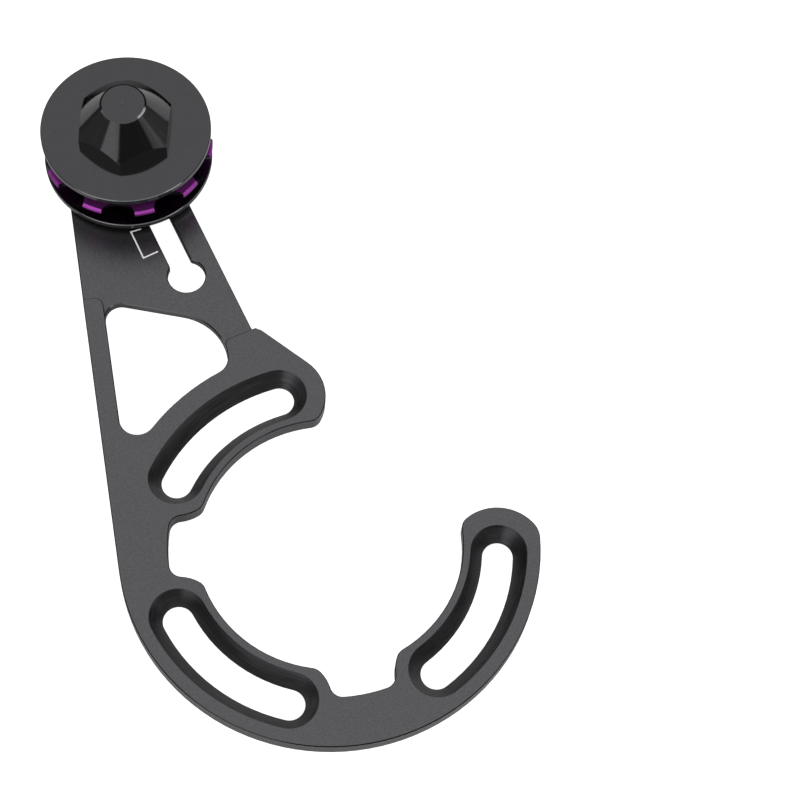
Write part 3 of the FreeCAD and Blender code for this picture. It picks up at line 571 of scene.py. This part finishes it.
# The hub clamps the stack from outside, and its spigot carries the bearing. It is turned
# from aluminium to a polished cone, milled with six flats for a spanner, and anodised
# black. Its turning marks are drawn 0.3 mm apart, about three times the real width.
dress("hub_cone", turned_anodised(
    "polished_black_anodised_aluminium", tones=("#5b5b5d", "#616163"), roughness=(0.06, 0.10),
    ring_width=0.0003, ring_depth=0.000003))


# The clamp screw is a low-head M5 socket screw, put in last, through the slot from the
# arm's back into the hub. It is headed and thread-rolled from steel, then blackened.
SCREW_STEPS = 48
SCREW_FLATS = 0.0015
# radius and height of each ring, from the tip to the socket's floor; True for a six-sided one
SCREW_RINGS = [
    (0.00165, 0.0120, False), (0.00195, 0.0117, False), (0.00199, 0.0116, False),
    (0.00199, 0.0003, False), (0.00220, 0.0000, False), (0.00410, 0.0000, False),
    (0.00418, -0.00004, False), (0.00420, -0.00012, False), (0.00420, -0.00290, False),
    (0.00416, -0.00312, False), (0.00405, -0.00331, False), (0.00389, -0.00344, False),
    (0.00370, -0.00350, False), (0.00192, -0.00350, False), (0.00178, -0.00338, False),
    (SCREW_FLATS, -0.00325, True), (SCREW_FLATS, -0.00120, True)]
SOCKET_POINT = -0.0007
THREAD_START = 0.0007
THREAD_PITCH = 0.0008
THREAD_DEPTH = 0.00047
# half the width of the ridge, at its root and at its crest
ROOT_HALF = THREAD_PITCH * 0.44
CREST_HALF = THREAD_PITCH * 0.07
THREAD_SIZES = {
    "Turns": 13.4, "Length": 0.0107, "Core Radius": 0.00198,
    "Root Low": (0, -ROOT_HALF, 0), "Crest Low": (-THREAD_DEPTH, -CREST_HALF, 0),
    "Crest High": (-THREAD_DEPTH, CREST_HALF, 0), "Root High": (0, ROOT_HALF, 0)}


def screw_blank(centre):
    """The screw before its thread is rolled: core, head and six-sided socket."""
    shape = bmesh.new()
    rings = []
    for radius, height, six_sided in SCREW_RINGS:
        ring = []
        for step in range(SCREW_STEPS):
            turn = 2 * math.pi * step / SCREW_STEPS
            off_flat = (turn % (math.pi / 3)) - math.pi / 6
            reach = radius / math.cos(off_flat) if six_sided else radius
            ring.append(shape.verts.new((
                centre.x + reach * math.cos(turn), centre.y + reach * math.sin(turn), height)))
        rings.append(ring)
    for ring, following in zip(rings, rings[1:]):
        for step in range(SCREW_STEPS):
            after = (step + 1) % SCREW_STEPS
            shape.faces.new((ring[step], ring[after], following[after], following[step]))
    for ring, height in ((rings[0], SCREW_RINGS[0][1]), (rings[-1], SOCKET_POINT)):
        point = shape.verts.new((centre.x, centre.y, height))
        for step in range(SCREW_STEPS):
            shape.faces.new((ring[step], ring[(step + 1) % SCREW_STEPS], point))
    mesh = bpy.data.meshes.new("screw_blank")
    shape.to_mesh(mesh)
    shape.free()
    return mesh


def thread_shape():
    """The rolled thread: a ridge that follows a spiral and fades into the core at each end."""
    tree = bpy.data.node_groups.new("screw_thread_shape", "GeometryNodeTree")
    tree.interface.new_socket("Geometry", in_out="OUTPUT", socket_type="NodeSocketGeometry")
    tree.interface.new_socket("Blank", in_out="INPUT", socket_type="NodeSocketGeometry")
    for name in ("Turns", "Length", "Core Radius"):
        tree.interface.new_socket(name, in_out="INPUT", socket_type="NodeSocketFloat")
    for name in ("Root Low", "Crest Low", "Crest High", "Root High", "Start"):
        tree.interface.new_socket(name, in_out="INPUT", socket_type="NodeSocketVector")
    tree.interface.new_socket("Finish", in_out="INPUT", socket_type="NodeSocketMaterial")
    given = add(tree, "NodeGroupInput").outputs
    spiral = add(tree, "GeometryNodeCurveSpiral", {
        "Resolution": SCREW_STEPS, "Rotations": given["Turns"], "Height": given["Length"],
        "Start Radius": given["Core Radius"], "End Radius": given["Core Radius"]})
    upright = add(tree, "GeometryNodeSetCurveNormal", {0: spiral.outputs[0]}, mode="Z_UP")
    ridge = add(tree, "GeometryNodeCurvePrimitiveQuadrilateral", {
        "Point 1": given["Root Low"], "Point 2": given["Crest Low"],
        "Point 3": given["Crest High"], "Point 4": given["Root High"]}, mode="POINTS")
    run = add(tree, "GeometryNodeSplineParameter").outputs["Factor"]
    from_end = add(tree, "ShaderNodeMath", {0: run, 1: 0.5}, operation="PINGPONG").outputs[0]
    # the ridge reaches its full depth about two thirds of a turn from its ends
    full = add(tree, "ShaderNodeMapRange", {"Value": from_end, "From Max": 0.05}).outputs[0]
    thread = add(tree, "GeometryNodeCurveToMesh", {
        "Curve": upright.outputs[0], "Profile Curve": ridge.outputs[0],
        "Scale": full, "Fill Caps": True})
    closed = add(tree, "GeometryNodeMergeByDistance", {
        "Geometry": thread.outputs[0], "Distance": WELD})
    placed = add(tree, "GeometryNodeTransform", {
        "Geometry": closed.outputs[0], "Translation": given["Start"]})
    joined = add(tree, "GeometryNodeJoinGeometry")
    tree.links.new(given["Blank"], joined.inputs[0])
    tree.links.new(placed.outputs[0], joined.inputs[0])
    real = add(tree, "GeometryNodeRealizeInstances", {"Geometry": joined.outputs[0]})
    done = add(tree, "GeometryNodeSetMaterial", {
        "Geometry": real.outputs[0], "Material": given["Finish"]})
    add(tree, "NodeGroupOutput", {0: done.outputs[0]})
    return tree


def black_oxide_steel():
    """Black oxide steel: nearly black, slightly oily, with brown worn patches."""
    material, tree, shader, place = started("black_oxide_steel", 1.0)
    # the oxide is mottled at about 0.5 mm
    mottle = add(tree, "ShaderNodeTexNoise", {
        "Vector": place, "Scale": 2000.0, "Detail": 3.0}).outputs["Fac"]
    tone = add(tree, "ShaderNodeValToRGB", {"Fac": mottle}, ((0.30, "#38383a"), (0.75, "#5a5552")))
    tree.links.new(tone.outputs["Color"], shader.inputs["Base Color"])
    rough = add(tree, "ShaderNodeMapRange", {
        "Value": mottle, "To Min": 0.28, "To Max": 0.45}).outputs[0]
    tree.links.new(rough, shader.inputs["Roughness"])
    bump = add(tree, "ShaderNodeBump", {"Strength": 0.2, "Distance": 0.00001, "Height": mottle})
    tree.links.new(bump.outputs[0], shader.inputs["Normal"])
    return material


screw_low, screw_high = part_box("clamp_screw")
screw_centre = (screw_low + screw_high) / 2
screw = grown("socket_screw", screw_blank(screw_centre), thread_shape(), {
    **THREAD_SIZES, "Finish": black_oxide_steel(),
    "Start": (screw_centre.x, screw_centre.y, THREAD_START)})
rounded_look(screw, degrees=30)
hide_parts("clamp_screw")
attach(screw, "carrier")


# The object lies on a plain white table in a photo tent with a dim roof. Soft boxes stand
# in front and at the sides, and show as reflections in the hub and the flange.
TABLE_CORNERS = [(-0.23, -0.25), (0.19, -0.25), (0.19, 0.31), (-0.23, 0.31)]
TABLE_GAP = 0.00002


def table_white():
    """White laminate table top: matt and even, and exposed until it goes white."""
    material, tree, shader, place = started("white_laminate_table", 0.0)
    shader.inputs["Specular IOR Level"].default_value = 0.1
    shader.inputs["Emission Color"].default_value = (1, 1, 1, 1)
    # the extra white is only seen, and lights nothing, so that the part keeps its dark walls
    looking = add(tree, "ShaderNodeLightPath").outputs["Is Camera Ray"]
    glow = add(tree, "ShaderNodeMath", {0: looking, 1: 0.9}, operation="MULTIPLY").outputs[0]
    tree.links.new(glow, shader.inputs["Emission Strength"])
    # faint unevenness of the sheet, about 1 mm across
    cloud = add(tree, "ShaderNodeTexNoise", {
        "Vector": place, "Scale": 900.0, "Detail": 2.0}).outputs["Fac"]
    tone = add(tree, "ShaderNodeValToRGB", {"Fac": cloud}, ((0.0, "#dedede"), (1.0, "#e2e2e2")))
    tree.links.new(tone.outputs["Color"], shader.inputs["Base Color"])
    rough = add(tree, "ShaderNodeMapRange", {
        "Value": cloud, "To Min": 0.85, "To Max": 0.95}).outputs[0]
    tree.links.new(rough, shader.inputs["Roughness"])
    return material


def table():
    """A flat table top, a hair below the screw's head, which stands lowest."""
    shape = bmesh.new()
    height = screw_low.z - TABLE_GAP
    shape.faces.new([shape.verts.new((x, y, height)) for x, y in TABLE_CORNERS])
    top = as_piece("table", shape)
    top.data.materials.append(table_white())
    return top


table()

DIM_CLOTH = 0.06
# each soft box: where it starts and ends to the right of the front, and above the table,
# in degrees; how soft its edge is; and how bright it is beside the table's white
SOFT_BOXES = [
    (-200, 200, 35, 95, 6.0, 0.56),
    (-60, -4, 23, 48, 3.0, 2.10),
    (-4, 50, 25, 48, 3.0, 1.30),
    (50, 70, 22, 33, 3.0, 2.80),
    (-43, -6, -4, 21, 7.0, 0.68),
    (-64, -40, -6, 6, 4.0, 0.50),
    (68, 88, 5, 21, 8.0, 0.30),
    (62, 99, -6, 5, 4.0, 0.60),
    (80, 135, -4, 21, 12.0, 0.14),
    (-118, -44, -6, 21, 9.0, 0.10),
    (-128, -95, 34, 56, 8.0, 1.00),
    (85, 125, 32, 58, 5.0, 2.20)]


def photo_tent():
    """The tent as seen from the table: dark walls, dim roof, bright soft boxes."""
    world = bpy.data.worlds.new("photo_tent")
    world.use_nodes = True
    tree = world.node_tree
    tree.nodes.clear()
    towards = add(tree, "ShaderNodeTexCoord").outputs["Generated"]
    axes = add(tree, "ShaderNodeSeparateXYZ", {0: towards}).outputs
    front = add(tree, "ShaderNodeMath", {0: axes["Y"], 1: -1.0}, operation="MULTIPLY").outputs[0]
    aside = add(tree, "ShaderNodeMath", {0: axes["X"], 1: front}, operation="ARCTAN2").outputs[0]
    above = add(tree, "ShaderNodeMath", {0: axes["Z"]}, operation="ARCSINE").outputs[0]
    total = DIM_CLOTH
    for left, right, bottom, top, edge, brightness in SOFT_BOXES:
        lit = brightness
        for reading, low, high in ((aside, left, right), (above, bottom, top)):
            offset = add(tree, "ShaderNodeMath", {
                0: reading, 1: math.radians((low + high) / 2)}, operation="SUBTRACT").outputs[0]
            offset = add(tree, "ShaderNodeMath", {0: offset}, operation="ABSOLUTE").outputs[0]
            inside = add(tree, "ShaderNodeMapRange", {
                "Value": offset, "From Min": math.radians((high - low) / 2 - edge / 2),
                "From Max": math.radians((high - low) / 2 + edge / 2),
                "To Min": 1.0, "To Max": 0.0}, interpolation_type="SMOOTHSTEP").outputs[0]
            lit = add(tree, "ShaderNodeMath", {0: inside, 1: lit}, operation="MULTIPLY").outputs[0]
        total = add(tree, "ShaderNodeMath", {0: lit, 1: total}, operation="ADD").outputs[0]
    tent = add(tree, "ShaderNodeBackground", {"Strength": total})
    # seen straight on, past the table's edge, the tent is plain pale cloth
    cloth = add(tree, "ShaderNodeBackground", {"Strength": 1.0})
    looking = add(tree, "ShaderNodeLightPath").outputs["Is Camera Ray"]
    shown = add(tree, "ShaderNodeMixShader", {0: looking, 1: tent.outputs[0], 2: cloth.outputs[0]})
    for glow in (tent, cloth):
        glow.inputs["Color"].default_value = (1, 1, 1, 1)
    add(tree, "ShaderNodeOutputWorld", {"Surface": shown.outputs[0]})
    return world


bpy.context.scene.world = photo_tent()
bpy.context.scene.view_settings.view_transform = "Standard"

# the camera stands where the photograph was taken from, worked out from the arc slots:
# its place, and the directions of the picture's right, of its top, and of its view
EYE = (0.0119735, -0.1669010, 0.4306138)
RIGHT = Vector((0.99145182, 0.11880966, 0.05392168))
UP = Vector((-0.130454, 0.89557927, 0.42534636))
AHEAD = Vector((-0.00224412, 0.42874472, -0.9034229))
lens = bpy.data.cameras.new("camera")
lens.sensor_width = 36.0
lens.lens = 95.30
lens.clip_start = 0.01
camera = bpy.data.objects.new("camera", lens)
held = Matrix((RIGHT, UP, -AHEAD)).transposed().to_4x4()
camera.matrix_world = Matrix.Translation(EYE) @ held
bpy.context.scene.collection.objects.link(camera)
bpy.context.scene.camera = camera
